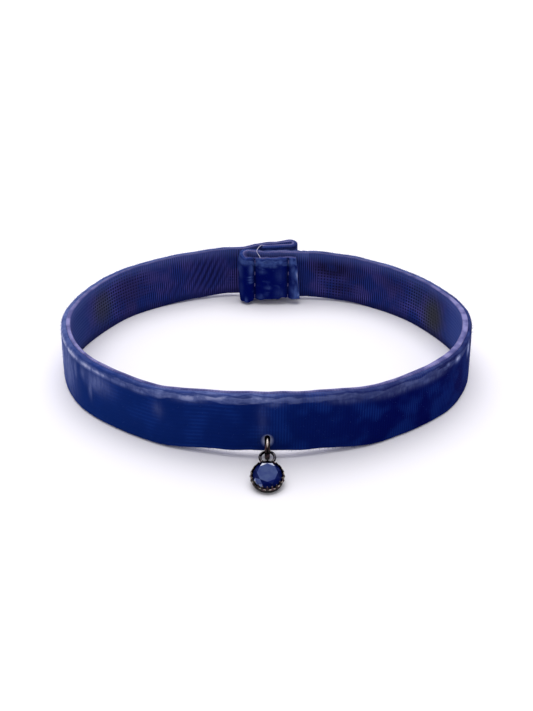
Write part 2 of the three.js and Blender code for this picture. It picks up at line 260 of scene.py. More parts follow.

# Puckers of the flap's pile. Columns: x, height, half width, half height, how far out,
# how pale (a painted highlight).
flap_lumps = [
    (-5.1, 7.2, 0.5, 1.5, 0.1, 0.22),
    (-4.3, 9.2, 0.9, 0.6, 0.26, 0.55),
    (-2.9, 7.8, 0.45, 1.3, 0.15, 0.42),
    (-3.1, 5.95, 0.45, 0.16, 0.12, 0.5),
    (-3.1, 5.4, 0.45, 0.16, 0.12, 0.45),
    (-3.0, 4.85, 0.4, 0.16, 0.12, 0.5),
    (-4.9, 3.4, 0.4, 1.6, 0.06, 0.1),
    (-4.0, 1.0, 0.2, 0.6, 0.15, 0.5),
    (-1.4, 9.1, 0.7, 0.5, 0.16, 0.5),
    (0.1, 9.0, 0.6, 0.35, -0.4, 0.0),
    (1.2, 8.3, 0.9, 0.35, 0.24, 0.34),
    (2.6, 9.1, 0.8, 0.5, 0.2, 0.5),
    (-1.2, 8.0, 0.5, 0.3, 0.18, 0.22),
    (-0.9, 7.1, 0.8, 0.35, 0.18, 0.18),
    (2.6, 6.4, 0.9, 1.3, 0.14, 0.1),
    (0.3, 3.8, 0.6, 0.35, 0.18, 0.24),
    (-0.1, 2.3, 0.5, 0.3, 0.12, 0.16),
    (-1.2, 1.7, 0.8, 0.5, 0.18, 0.2),
    (2.6, 2.5, 0.9, 1.1, 0.14, 0.12),
    (4.8, 9.0, 0.5, 0.8, 0.22, 0.6),
    (5.2, 7.4, 0.4, 0.8, 0.2, 0.42),
    (5.3, 5.0, 0.3, 0.7, 0.18, 0.25),
    (5.0, 3.2, 0.5, 0.9, 0.16, 0.18),
    (5.8, 2.4, 0.35, 1.8, 0.2, 0.65),
]


def pile_relief(x, y, z, is_flap):
    """How far the pile stands proud: fine lumps, and on the flap its puckers and its two seams."""
    relief = 0.03 * rumple(x, y, z, 0.55, 1) + 0.04 * rumple(x, y, z, 2.2, 2)
    if is_flap:
        for lump_x, lump_z, half_width, half_height, out, _ in flap_lumps:
            relief += out * math.exp(-((x - lump_x) / half_width) ** 2 - ((z - lump_z) / half_height) ** 2)
        relief += 0.15 * rumple(x, y, z, 1.7, 3) + 0.09 * rumple(x, y, z, 0.8, 11)
        from_seam = min(abs(x - left_seam_x), abs(x - right_seam_x))
        relief -= (0.38 + 0.12 * rumple(0, 0, z, 1.1, 17)) * math.exp(-(from_seam / 0.19) ** 2)
    return relief


# Paler pile: brushed streaks, and painted sheen where the loop turns away at either end.
# Columns: degrees round the loop, distance down from the upper edge, half length, half height, strength.
nap_marks = [
    (-178, 4.5, 2.6, 5.0, 0.95),
    (-170, 4.8, 3.6, 5.5, 0.8),
    (-161, 4.6, 2.6, 4.6, 0.58),
    (175, 1.2, 2.0, 0.4, 0.8),
    (-178, 1.3, 2.0, 0.42, 1.15),
    (-172, 1.4, 2.0, 0.45, 1.4),
    (-165, 1.5, 2.2, 0.45, 1.45),
    (-157, 1.6, 2.4, 0.42, 1.4),
    (-150, 1.7, 2.4, 0.4, 1.2),
    (-144, 1.8, 2.2, 0.36, 0.95),
    (-155, 3.6, 0.45, 1.6, 0.5),
    (-151, 3.2, 0.7, 1.3, 0.3),
    (-148, 5.2, 0.35, 1.5, 0.5),
    (-145, 3.6, 2.4, 1.5, 0.42),
    (-137, 1.9, 2.4, 0.35, 0.6),
    (-129, 2.0, 1.4, 0.35, 0.6),
    (-123, 4.2, 0.8, 1.3, 0.12),
    (-112, 2.1, 2.6, 0.4, 0.22),
    (-91, 4.8, 0.8, 3.6, 0.07),
    (-88, 2.2, 1.3, 0.45, 0.2),
    (-66, 2.2, 2.6, 0.5, 0.2),
    (-49, 2.1, 4.5, 0.6, 0.26),
    (-38, 2.2, 3.2, 0.55, 0.26),
    (-30, 1.5, 0.5, 0.35, 0.7),
    (-25, 1.7, 0.8, 0.45, 1.3),
    (-16, 2.4, 0.7, 1.1, 1.2),
    (-13, 4.6, 0.6, 1.8, 0.45),
]

# Stains, changes of weave, and painted sheen where the ribbon turns, on the woven inner side.
# Columns: degrees round the loop, height, half angle, half height, strength.
weave_marks = {
    "stain": [(16, 4.0, 5.0, 4.2, 1.0), (24, 6.0, 4.0, 3.0, 0.35), (161, 5.0, 5.0, 3.6, 0.75)],
    "smooth_weave": [(1, 5.0, 9.0, 9.0, 1.0), (177, 5.0, 9.0, 9.0, 1.0)],
    "violet": [
        (61, 6.6, 9.0, 2.0, 0.9),
        (52, 6.0, 5.0, 2.4, 0.6),
        (57, 2.8, 6.0, 1.4, 0.7),
        (35, 6.5, 6.0, 2.2, 0.4),
        (148, 5.0, 8.0, 4.0, 0.5),
    ],
    "streaks": [(116, 4.8, 9.0, 4.2, 1.0), (130, 3.0, 5.0, 2.2, 0.5)],
    "grid": [(154, 6.0, 13.0, 5.0, 1.0), (25, 4.5, 10.0, 6.0, 1.0)],
}


def marked(table, turn, height):
    """The strongest mark of a table of marks here."""
    strongest = 0.0
    for mark_turn, mark_height, half_turn, half_height, strength in table:
        off_turn = (turn - mark_turn + 180) % 360 - 180
        off = (off_turn / half_turn) ** 2 + ((height - mark_height) / half_height) ** 2
        strongest = max(strongest, strength * math.exp(-off ** 1.5))
    return strongest


loop_spacing = 0.33
closure_spacing = 0.16
station_places = []
for segment in range(len(route) - 1):
    length = np.linalg.norm(route[segment + 1][:2] - route[segment][:2])
    spacing = loop_spacing if inner_end <= segment < outer_start else closure_spacing
    steps = max(2, round(length / spacing))
    station_places += [(segment, step / steps) for step in range(steps)]
station_places.append((len(route) - 2, 1.0))

zones = [zone for _, _, zone in ribbon_outline(ribbon_thickness, ribbon_width)]
outline_size = len(zones)
hole_dent, hole_dent_radius = 0.6, 0.95
mean_radius = 30
points = []

# What the materials read at each point: how far along the ribbon, up it and down from its
# upper edge, in millimetres, and how strong each mark is.
marks = {name: [] for name in (
    "along", "up", "drop", "brushed_and_painted_sheen", "pale", "stain", "smooth_weave", "violet", "streaks", "grid", "fuzz")}
travelled = 0.0
last_middle = route[0][:2]
for station, (segment, part) in enumerate(station_places):
    middle, direction = through_rows(route[:, :2], segment, part)
    direction = direction / np.linalg.norm(direction)
    towards_pile = np.array((-direction[1], direction[0]))
    blend = part * part * (3 - 2 * part)
    lift, *lean, width, thickness, swell = route[segment][2:] * (1 - blend) + route[segment + 1][2:] * blend
    lean = np.array(lean)
    travelled += np.linalg.norm(middle - last_middle)
    last_middle = middle
    is_flap = segment < flap_end + 2  # with the start of its fold
    is_fold = flap_end + 2 <= segment < fold_end
    is_inner_end = segment < inner_end
    is_outer_end = segment >= outer_start
    tuck = 0.26 if flap_end <= segment < fold_end - 1 else 0.1
    raw_edge = math.exp(-station / 5)
    turn = math.degrees(math.atan2(middle[1], middle[0]))
    pale_pile, pale_selvedge, selvedge_width = (
        np.interp(turn, edge_tones[:, 0], edge_tones[:, column]) for column in (1, 2, 3))
    # The two ends of the closure take a painted sheen of their own.
    if is_inner_end:
        pale_pile, pale_selvedge, selvedge_width = 0.8, 0.15, 0.5
    elif is_outer_end:
        pale_pile, pale_selvedge, selvedge_width = 0.4, 0.5, 0.5
    outline = ribbon_outline(thickness, width, selvedge_width)
    drops = [0.0] * outline_size  # how far each point is from the upper edge, down over the pile
    for side in range(outline_size - 2, -1, -1):
        if zones[side] in ("pile", "crease"):
            drops[side] = drops[side + 1] + math.dist(outline[side][:2], outline[side + 1][:2])
    for side, (across, height, zone) in enumerate(outline):
        from_middle = height / width - 0.5
        out = across
        brushed_and_painted_sheen = 0.0
        # The pile swells out between the edges, and is drawn in at the ring's punched hole.
        if zone in ("pile", "crease"):
            out += swell * math.sin(math.pi * min(max(height / width, 0), 1))
            if middle[1] < 0:
                off_hole = math.hypot(middle[0] - ring_x, height + lift - hole_height)
                out -= hole_dent * math.exp(-(off_hole / hole_dent_radius) ** 2)
        elif is_inner_end:
            out -= tuck * max(height / width - 0.2, 0)
        # The cut end of the flap is slanted, and its weave has run. Gathered edges ruck up.
        forward = 0.9 * raw_edge * from_middle
        x, y = middle + towards_pile * out + direction * forward + lean * from_middle
        z = lift + height + 0.07 * rumple(x, y, 0, 2.6, 8) * (height / width)
        if zone == "crease" and middle[1] > -5:
            z += 0.17 if height > width / 2 else -0.17
        if is_flap:
            x -= direction[0] * raw_edge * (0.34 * rumple(0, 0, z, 1.5, 5) + 0.12 * rumple(0, 0, z, 0.5, 9))
        if is_inner_end:
            z += (0.6 if is_flap else 0.4) * from_middle * rumple(x, y, 0, 1.1, 7)
        # The pile is rough where it is folded, and has a painted highlight where it catches the light:
        # on the fold, on the flap's puckers and up-facing slopes, at its cut end and in the nap marks.
        if zone == "pile":
            rough = pile_relief(x, y, z, is_flap)
            if is_fold:
                rough += 0.22 * rumple(x, y, z, 1.0, 13)
                brushed_and_painted_sheen = 0.5 * max(rumple(x, y, z, 1.3, 29), 0)
            if is_flap:
                brushed_and_painted_sheen = min(max(0.8 * (pile_relief(x, y, z - 0.4, is_flap) - rough) / 0.4 - 0.1, 0), 0.3)
                brushed_and_painted_sheen = max(brushed_and_painted_sheen, 0.9 * raw_edge * (0.6 + rumple(x, y, z, 1.2, 23)))
                for lump_x, lump_z, half_width, half_height, _, strength in flap_lumps:
                    off = ((x - lump_x) / half_width) ** 2 + ((z - lump_z) / half_height) ** 2
                    brushed_and_painted_sheen = max(brushed_and_painted_sheen, strength * math.exp(-off))
            else:
                for mark_turn, mark_drop, half_length, half_height, strength in nap_marks:
                    off_turn = (turn - mark_turn + 180) % 360 - 180
                    if abs(off_turn) < 14:
                        off = (math.radians(off_turn) * mean_radius / half_length) ** 2
                        off += ((drops[side] - mark_drop) / half_height) ** 2
                        brushed_and_painted_sheen = max(brushed_and_painted_sheen, strength * math.exp(-off))
            x, y = (x, y) + towards_pile * rough
            z += 0.35 * rough if height > width / 2 else 0
        elif zone == "back":
            ripple = 0.03 * rumple(x, y, z, 3.0, 4)
            x, y = (x, y) + towards_pile * ripple
        points.append((x, y, z))
        # The woven side pales towards its upper edge. Seams and creases get painted shade.
        # At the closure's inner end the strip is paler still, painted light where the flap shades it.
        edge_strip = 0.78 if is_inner_end else 0.42
        edge_strip *= min(max((height / width - 0.76) / 0.18, 0), 1) ** 1.5
        from_seam = min(abs(x - left_seam_x), abs(x - right_seam_x)) if is_flap else 9.0
        seam_and_crease_shade = (0.5 + 0.3 * rumple(x, 0, z, 1.3, 19)) * math.exp(-(from_seam / 0.16) ** 2)
        if zone == "crease":
            seam_and_crease_shade = 0.8 if is_outer_end else min(max(0.45 + rumple(x, y, 0, 2.0, 31), 0), 0.8)
        on_ridge = math.exp(-((drops[side] - 1.1) / 0.5) ** 2) + math.exp(-((drops[side] - 10.6) / 0.3) ** 2)
        values = {
            "along": travelled,
            "up": height,
            "drop": drops[side],
            "brushed_and_painted_sheen": brushed_and_painted_sheen,
            "pale": {"edge": pale_selvedge, "back": edge_strip}.get(zone, pale_pile),
            "stain": seam_and_crease_shade,
            "fuzz": min(on_ridge + 0.06 + raw_edge, 1.0) if zone == "pile" else raw_edge,
        }
        if zone == "back":
            values.update((name, marked(table, turn, height)) for name, table in weave_marks.items())
        for name, column in marks.items():
            column.append(values.get(name, 0.0))

faces, face_material = [], []
for station in range(len(station_places) - 1):
    near, far = station * outline_size, (station + 1) * outline_size
    for side in range(outline_size):
        following = (side + 1) % outline_size
        faces.append((near + side, near + following, far + following, far + side))
        pair = {zones[side], zones[following]}
        face_material.append(2 if "edge" in pair else 0 if pair & {"pile", "crease"} else 1)
last = (len(station_places) - 1) * outline_size
for side in range(1, outline_size - 1):
    faces.append((0, side + 1, side))
    faces.append((last, last + side, last + side + 1))
    face_material += [1, 1]
ribbon = mesh_object("velvet_ribbon", points, faces, attributes=marks, face_material=face_material)


def linear(hex_colour):
    """An sRGB hex colour as linear RGBA."""
    channels = [int(hex_colour[place:place + 2], 16) / 255 for place in (1, 3, 5)]
    return (*(c / 12.92 if c <= 0.04045 else ((c + 0.055) / 1.055) ** 2.4 for c in channels), 1.0)


def add_node(tree, kind, inputs=(), out=None, **settings):
    """Adds a node, a shader node if its kind has no prefix, with its settings and links.

    An input is a value, or a socket to link from, by its name or its place among the sockets
    in use. Gives back the first output in use, or the one named.
    """
    made = tree.nodes.new(kind if "Node" in kind else "ShaderNode" + kind)
    for key, value in settings.items():
        setattr(made, key, value)
    in_use = [socket for socket in made.inputs if socket.enabled]
    for key, value in inputs.items() if isinstance(inputs, dict) else enumerate(inputs):
        socket = made.inputs[key] if isinstance(key, str) else in_use[key]
        if isinstance(value, bpy.types.NodeSocket):
            tree.links.new(value, socket)
        else:
            socket.default_value = value
    return made.outputs[out] if out else next((socket for socket in made.outputs if socket.enabled), None)


def new_material(name):
    """An empty material, and add_node for its tree."""
    material = bpy.data.materials.new(name)
    material.use_nodes = True
    material.node_tree.nodes.clear()
    return material, partial(add_node, material.node_tree)


# Cut rayon pile. Seen end on it is deep navy with hardly any gloss; the paler blue that light
# draws from the sides of the fibres is painted into its colour as sheen, in a ridge along the
# upper edge, a line along the lower edge, round the ring's hole and where it is brushed.
pile, add = new_material("cut_rayon_velvet_pile")
place = add("TexCoord", out="Object")
drop, along, brushed_and_painted_sheen, pale, seam_and_crease_shade = (
    add("Attribute", out="Fac", attribute_name=name)
    for name in ("drop", "along", "brushed_and_painted_sheen", "pale", "stain"))
x_place = add("SeparateXYZ", (place,), out="X")
broad = add("TexNoise", {"Vector": place, "Scale": 1000 / 5.0, "Detail": 2.0})
torn = add("TexNoise", {"Vector": place, "Scale": 1000 / 2.4, "Detail": 3.0, "Roughness": 0.65})
# bottom_line is a painted sheen along the lower edge.
rightward, leftward, past_flap, cloudy, bottom_line = (
    add("MapRange", {"Value": measure, "From Min": start, "From Max": end, "To Max": most})
    for measure, start, end, most in (
        (x_place, -0.028, 0.02, 1.0),
        (x_place, 0.002, -0.004, 1.0),
        (along, 13.0, 17.0, 1.0),
        (broad, 0.42, 0.68, 0.3),
        (drop, 10.25, 10.6, 0.18)))
row_patch, torn_part = (
    add("MapRange", {"Value": patch, "From Min": start, "From Max": end}, interpolation_type="SMOOTHSTEP")
    for patch, start, end in ((broad, 0.45, 0.6), (torn, 0.4, 0.62)))

# The rows of pile, drawn 0.65 mm apart, and its cords, 0.4 mm, are coarser than real so that
# they show. The rows run along the ribbon on its left and the cords run down on its right.
rows, cords = (
    add("Math", (add("Math", (measure, 2 * math.pi / spacing), operation="MULTIPLY"),), operation="SINE")
    for measure, spacing in ((drop, 0.65), (along, 0.4)))
lines = add("Mix", (leftward, cords, rows))
lines = add("MapRange", {"Value": lines, "From Min": -0.4, "From Max": 1.0, "To Max": 0.55})
row_patch = add("MapRange", {"Value": row_patch, "To Min": 0.12})
row_patch = add("Math", (row_patch, past_flap), operation="MULTIPLY")
lines = add("Math", (lines, row_patch), operation="MULTIPLY")
face = linear("#0C286A")
for part, layer in ((rightward, "#000448"), (cloudy, "#12307A"), (lines, "#12307C")):
    face = add("Mix", (part, face, linear(layer)), data_type="RGBA")
face = add("Mix", (past_flap, linear("#000B56"), face), data_type="RGBA")

# The ridge along the upper edge, where the pile rolls over, is a painted sheen: how pale it
# is at each drop from the edge, in millimetres. Its lower side is ruffled.
on_ribbon = add("CombineXYZ", {"X": along, "Y": drop})
ruffled, streak = (
    add("TexNoise", {
        "Vector": add("VectorMath", (on_ribbon, stretch), operation="MULTIPLY"),
        "Scale": scale, "Detail": detail, "Roughness": roughness})
    for stretch, scale, detail, roughness in (
        ((0.4, 1.6, 1.0), 0.9, 2.0, 0.5),
        ((1.0, 0.22, 1.0), 1.5, 3.0, 0.6)))
ruffled_drop = add("Math", (ruffled, 1.4, drop), operation="MULTIPLY_ADD")
profile = add("MapRange", {"Value": ruffled_drop, "From Min": 0.7, "From Max": 3.7})
bloom = add("ValToRGB", (profile,))
ridge = bloom.node.color_ramp
ridge.interpolation = "EASE"
ridge_span = 3.0
ridge_steps = [
    (0.0, 0.28), (0.2, 0.34), (0.8, 0.36), (0.98, 0.16), (1.12, 0.16), (1.4, 0.6), (1.75, 0.48), (2.4, 0.0)]
for ridge_drop, _ in ridge_steps[:-2]:
    ridge.elements.new(ridge_drop / ridge_span)
for element, (ridge_drop, paleness) in zip(ridge.elements, ridge_steps):
    element.position = ridge_drop / ridge_span
    element.color = (paleness, paleness, paleness, 1)
break_up = add("MapRange", {"Value": torn_part, "To Min": 0.5, "To Max": 0.95})
for factor in (break_up, pale):
    bloom = add("Math", (bloom, factor), operation="MULTIPLY")
brush_part = add("MapRange", {
    "Value": streak, "From Min": 0.35, "From Max": 0.65, "To Min": 0.5, "To Max": 1.15})
# Brushed streaks with painted sheen and highlights, streaked along the ribbon.
brushed_and_sheen_streaks = add("Math", (brushed_and_painted_sheen, brush_part), operation="MULTIPLY")

# The pile is parted round the punched hole of the jump ring: painted sheen where it lies over
# around the hole, and painted shade inside it.
hole_y = -middle_half_depth - front_bulge - ribbon_thickness / 2
hole = (Vector((ring_x, hole_y, hole_height - 0.35)) + to_part) / 1000
from_hole = add("VectorMath", (place, hole), operation="SUBTRACT")
from_hole = add("VectorMath", (from_hole, (1.0, 0.4, 0.85)), operation="MULTIPLY")
from_hole = add("VectorMath", (from_hole,), operation="LENGTH")
parted_in, parted_out, hole_shade = (
    add("MapRange", {
        "Value": from_hole, "From Min": near / 1000, "From Max": far / 1000, "To Min": least, "To Max": most})
    for near, far, least, most in ((0.38, 0.5, 0.0, 1.0), (0.5, 1.0, 1.0, 0.0), (0.36, 0.44, 0.9, 0.0)))
parted_pile_sheen = add("Math", (parted_in, parted_out), operation="MULTIPLY")
parted_pile_sheen = add("Math", (parted_pile_sheen, 1.15), operation="MULTIPLY")
for mark in (brushed_and_sheen_streaks, parted_pile_sheen, bottom_line):
    bloom = add("Math", (bloom, mark), operation="MAXIMUM")
blue_part = add("MapRange", {"Value": bloom, "From Max": 0.6})
white_part = add("MapRange", {"Value": bloom, "From Min": 0.5, "From Max": 1.1, "To Max": 0.85})
pale_blue = add("Mix", (past_flap, linear("#5068AA"), linear("#6874A8")), data_type="RGBA")
# Painted sheen in pale blue and white, then painted shade in the seams, creases and the ring's hole.
colour = face
for part, layer in (
        (blue_part, pale_blue), (white_part, linear("#BCC0E0")),
        (seam_and_crease_shade, linear("#02062C")), (hole_shade, linear("#02031C"))):
    colour = add("Mix", (part, colour, layer), data_type="RGBA")
grain = add("TexNoise", {"Vector": place, "Scale": 1000 / 0.2, "Detail": 3.0, "Roughness": 0.7})
lump = add("Bump", {"Height": grain, "Distance": 0.0001, "Strength": 0.6})
shader = add("BsdfPrincipled", {
    "Base Color": colour, "Roughness": 1.0, "Specular IOR Level": 0.02, "Normal": lump,
    "Sheen Weight": 0.05, "Sheen Roughness": 0.3, "Sheen Tint": linear("#6F84E8")})
add("OutputMaterial", {"Surface": shader})

# Woven rayon ground on the inner side: upright ribs, crossed in patches by weft threads,
# navy shading into violet, with a plain strip along the upper edge. The ribs are drawn
# 0.43 mm apart and the crossed weave 0.62 mm, coarser than the real threads, so they show.
ground, add = new_material("woven_rayon_ground")
place = add("TexCoord", out="Object")
along, up, stain, violet_stain, streaks, pale, turn_sheen_part, grid_side = (
    add("Attribute", out="Fac", attribute_name=name)
    for name in ("along", "up", "stain", "violet", "streaks", "pale", "smooth_weave", "grid"))
thread_spacing = 0.43
net_spacing = 0.62
warp, weft, net = (
    add("Math", (add("Math", (measure, 2 * math.pi / spacing), operation="MULTIPLY"),), operation="SINE")
    for measure, spacing in ((along, thread_spacing), (up, net_spacing), (along, net_spacing)))
net = add("Math", (net, weft), operation="MAXIMUM")
net = add("Math", (net, 1.5, -0.55), operation="MULTIPLY_ADD")
broad, worn_patch, blotch = (
    add("TexNoise", {"Vector": place, "Scale": 1000 / size, "Detail": detail, "Roughness": roughness})
    for size, detail, roughness in ((9.0, 1.0, 0.5), (3.6, 2.0, 0.5), (4.5, 3.0, 0.55)))
weft_patch, violet = (
    add("MapRange", {"Value": patch, "From Min": start, "From Max": end}, interpolation_type="SMOOTHSTEP")
    for patch, start, end in ((broad, 0.6, 0.75), (blotch, 0.4, 0.62)))
weft_patch = add("Math", (weft_patch, grid_side), operation="MAXIMUM")
threads = add("Mix", (weft_patch, warp, net))
evenness = add("MapRange", {"Value": worn_patch, "From Min": 0.4, "From Max": 0.6, "To Min": 0.4})
threads = add("Math", (threads, evenness), operation="MULTIPLY")
threads = add("MapRange", {"Value": threads, "From Min": -0.7, "From Max": 0.9})
x_place = add("SeparateXYZ", (place,), out="X")
rightward = add("MapRange", {"Value": x_place, "From Min": -0.03, "From Max": 0.03})
furrow, rib, dark_yarn, grey_yarn, turn_sheen_colour = (
    add("Mix", (part, linear(low), linear(high)), data_type="RGBA")
    for part, low, high in (
        (violet, "#01042E", "#0A0832"),
        (violet, "#263A90", "#4A489A"),
        (threads, "#05031E", "#1B1748"),
        (threads, "#0A0C18", "#4A4C58"),
        (rightward, "#1C3070", "#2C3F84")))

# Slanting dark streaks 1.25 mm apart where the weave was creased and pressed flat.
slant = add("Math", (up, 0.55), operation="MULTIPLY")
slant = add("Math", (along, slant), operation="SUBTRACT")
slant = add("Math", (slant, 2 * math.pi / 1.25), operation="MULTIPLY")
wobble = add("Math", (blotch, 5.0), operation="MULTIPLY")
slant = add("Math", (slant, wobble), operation="ADD")
slant = add("Math", (slant,), operation="SINE")
slant = add("MapRange", {"Value": slant, "From Min": -0.5, "From Max": 0.8, "To Max": 0.8})
slant = add("Math", (slant, streaks), operation="MULTIPLY")
flattened = add("Math", (streaks, 0.6), operation="MULTIPLY")

# Violet dye stains, and painted sheen with fine picks where the ribbon turns at either side.
violet_part = add("MapRange", {"Value": blotch, "From Min": 0.34, "From Max": 0.54})
violet_part = add("Math", (violet_part, violet_stain), operation="MULTIPLY")
fine_picks = add("MapRange", {"Value": weft, "To Max": 0.3})
turn_sheen_colour = add("Mix", (fine_picks, turn_sheen_colour, linear("#46589E")), data_type="RGBA")
foot = add("MapRange", {"Value": up, "From Min": 0.5, "From Max": 1.6, "To Min": 0.6, "To Max": 0.0})
# The paler strip along the upper edge is partly painted light, at the closure's inner end.
colour = furrow
for part, layer in (
        (threads, rib), (flattened, linear("#262A70")), (slant, linear("#060736")),
        (violet_part, dark_yarn), (turn_sheen_part, turn_sheen_colour), (stain, grey_yarn),
        (pale, linear("#4E5C9C")), (foot, linear("#060A3C"))):
    colour = add("Mix", (part, colour, layer), data_type="RGBA")
weave = add("Bump", {"Height": threads, "Distance": 0.00006, "Strength": 0.7})
shader = add("BsdfPrincipled", {
    "Base Color": colour, "Roughness": 0.75, "Specular IOR Level": 0.06, "Normal": weave,
    "Sheen Weight": 0.03, "Sheen Roughness": 0.4, "Sheen Tint": linear("#A0A0E0")})
add("OutputMaterial", {"Surface": shader})

# Satin selvedge: the same yarn without pile, seen on edge as a narrow lilac strip with its
# picks as fine dark bars. How pale it is drawn round the loop is a painted sheen.
selvedge, add = new_material("satin_selvedge")
place = add("TexCoord", out="Object")
along, pale = (add("Attribute", out="Fac", attribute_name=name) for name in ("along", "pale"))
worn = add("TexNoise", {"Vector": place, "Scale": 1000 / 2.2, "Detail": 3.0})
worn_part = add("MapRange", {
    "Value": worn, "From Min": 0.36, "From Max": 0.64}, interpolation_type="SMOOTHSTEP")
pick_phase = add("Math", (along, 2 * math.pi / thread_spacing), operation="MULTIPLY")
picks = add("Math", (pick_phase,), operation="SINE")
picks = add("MapRange", {"Value": picks, "From Min": -1.0, "To Max": 0.3})
colour = add("Mix", (worn_part, linear("#4E4E8C"), linear("#8C88C0")), data_type="RGBA")
colour = add("Mix", (pale, linear("#222A6C"), colour), data_type="RGBA")
colour = add("Mix", (picks, colour, linear("#161C58")), data_type="RGBA")
shader = add("BsdfPrincipled", {
    "Base Color": colour, "Roughness": 0.55, "Specular IOR Level": 0.3,
    "Sheen Weight": 0.1, "Sheen Roughness": 0.4, "Sheen Tint": linear("#C0C0F0")})
add("OutputMaterial", {"Surface": shader})

for material in (pile, ground, selvedge):
    ribbon.data.materials.append(material)

# ---- Loose pile fibres ----
# Single rayon fibres that stand out of the pile along both edges of the ribbon, and the
# ravelled yarn at the flap's cut end. They break up the ribbon's outline.


def node_group(name, sizes):
    """A geometry tree with a named input for each size, add_node for it, and its inputs."""
    group = bpy.data.node_groups.new(name, "GeometryNodeTree")
    group.interface.new_socket("Geometry", in_out="INPUT", socket_type="NodeSocketGeometry")
    group.interface.new_socket("Geometry", in_out="OUTPUT", socket_type="NodeSocketGeometry")
    for key, value in sizes.items():
        kind = "NodeSocketInt" if isinstance(value, int) else "NodeSocketFloat"
        group.interface.new_socket(key, in_out="INPUT", socket_type=kind)
    return group, partial(add_node, group), group.nodes.new("NodeGroupInput").outputs


def grown(name, carrier, group, sizes, shape, material):
    """Ends the tree with its shape as plain faces of one material, runs it on the carrier and
    keeps the result as a mesh piece."""
    made = add_node(group, "GeometryNodeRealizeInstances", {"Geometry": shape})
    coated = add_node(group, "GeometryNodeSetMaterial", {"Geometry": made, "Material": material})
    add_node(group, "NodeGroupOutput", {"Geometry": coated})
    grow = carrier.modifiers.new(name, "NODES")
    grow.node_group = group
    for item in group.interface.items_tree:
        if item.in_out == "INPUT" and item.name in sizes:
            grow[item.identifier] = sizes[item.name]
    evaluated = carrier.evaluated_get(bpy.context.evaluated_depsgraph_get())
    mesh = bpy.data.meshes.new_from_object(evaluated)
    mesh.name = name
    carrier.modifiers.remove(grow)
    return new_object(name, mesh)


# Loose rayon fibre: the dyed yarn on its own, matt and a little paler than the pile.
loose_fibre, add = new_material("loose_rayon_fibre")
shader = add("BsdfPrincipled", {
    "Base Color": linear("#2A3A80"), "Roughness": 0.8, "Specular IOR Level": 0.1,
    "Sheen Weight": 0.15, "Sheen Roughness": 0.4, "Sheen Tint": linear("#A9B4E6")})
add("OutputMaterial", {"Surface": shader})

fibre_sizes = {
    "Fibres per square metre": 9.0e6, "Fibre length": 0.34 / 1000, "Fibre radius": 0.016 / 1000, "Seed": 5}
group, add, size_of = node_group("loose_fibres", fibre_sizes)
fuzz = add("GeometryNodeInputNamedAttribute", ("fuzz",), data_type="FLOAT")
density = add("Math", (fuzz, size_of["Fibres per square metre"]), operation="MULTIPLY")
roots = add("GeometryNodeDistributePointsOnFaces", {
    "Mesh": size_of["Geometry"], "Density": density, "Seed": size_of["Seed"]}, out="Points")
facing = roots.node.outputs["Rotation"]
tilt = add("FunctionNodeRandomValue", {
    "Min": (-0.7, -0.7, 0), "Max": (0.7, 0.7, 6.28), "Seed": size_of["Seed"]}, data_type="FLOAT_VECTOR")
leaning = add("FunctionNodeRotateRotation", {"Rotation": facing, "Rotate By": tilt}, rotation_space="LOCAL")
fibre = add("GeometryNodeMeshCone", {
    "Vertices": 3, "Radius Top": 0.0, "Radius Bottom": size_of["Fibre radius"],
    "Depth": size_of["Fibre length"]}, fill_type="NONE")
growth = add("FunctionNodeRandomValue", {0: 0.5, 1: 1.2, "Seed": size_of["Seed"]}, data_type="FLOAT")
fibres = add("GeometryNodeInstanceOnPoints", {
    "Points": roots, "Instance": fibre, "Rotation": leaning, "Scale": growth})
loose_fibres = grown("loose_pile_fibres", ribbon, group, fibre_sizes, fibres, loose_fibre)

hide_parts("velvet_band")
for piece in (ribbon, loose_fibres):
    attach(piece, "root")

# ---- Jump ring ----
# A 4 mm ring of 0.8 mm brass wire, gunmetal plated and closed edge to edge. It passes
# through the ribbon near its lower edge and carries the charm.


def swept_ring(centre, radius, wire_radius, steps, sides, stretch=0.0, gap=0.0, turned=None):
    """Points and faces of round wire bent into a ring; a gap leaves it cut at its top."""
    ring_points, ring_faces = [], []
    stations = steps + 1 if gap else steps
    for step in range(stations):
        around = gap / 2 + (2 * math.pi - gap) * step / steps
        for side in range(sides):
            across = 2 * math.pi * side / sides
            reach = radius + wire_radius * math.cos(across)
            long_reach = reach + stretch
            point = Vector((
                wire_radius * math.sin(across), long_reach * math.sin(around), reach * math.cos(around)))
            ring_points.append(centre + (turned(point) if turned else point))
    for step in range(steps):
        near, far = step * sides, (step + 1) % stations * sides
        for side in range(sides):
            following = (side + 1) % sides
            ring_faces.append((near + side, near + following, far + following, far + side))
    if gap:
        ring_faces.append(tuple(range(sides - 1, -1, -1)))
        ring_faces.append(tuple(steps * sides + side for side in range(sides)))
    return ring_points, ring_faces


